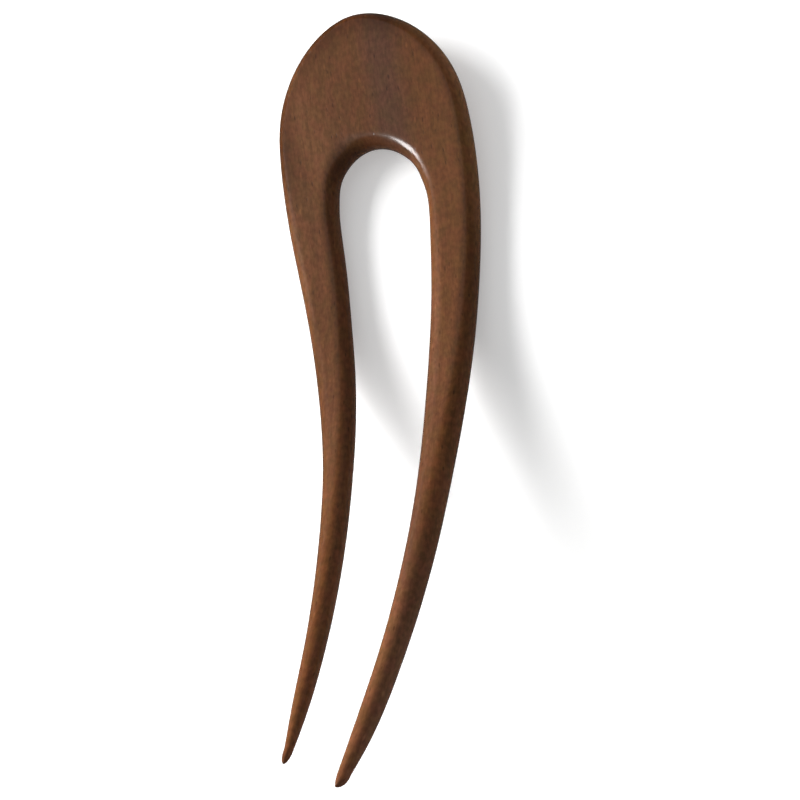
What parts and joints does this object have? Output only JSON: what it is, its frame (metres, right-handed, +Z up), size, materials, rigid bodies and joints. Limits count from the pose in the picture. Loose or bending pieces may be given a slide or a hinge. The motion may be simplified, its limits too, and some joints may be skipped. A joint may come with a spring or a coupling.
{
  "type": "u-shaped hairpin",
  "caption": "One-piece carved wooden hairpin with two prongs: a broad rounded head, a narrow arch and two tapering prongs, bowed along its length to hold a bun.",
  "frame": {"origin": "centre of the box around the fork, on the surface that it rests on", "axes": "+Y from the tips to the crown of the head, +X to the right with the hollow side up, +Z up, out of the hollow side"},
  "size_m": [0.035, 0.1174, 0.042],
  "materials": {
    "wood": "even mid-brown hardwood, sanded smooth, oiled to a satin sheen, with fine short pores along the length"
  },
  "bodies": {
    "root": {"hair_fork": "wood"}
  },
  "joints": []
}
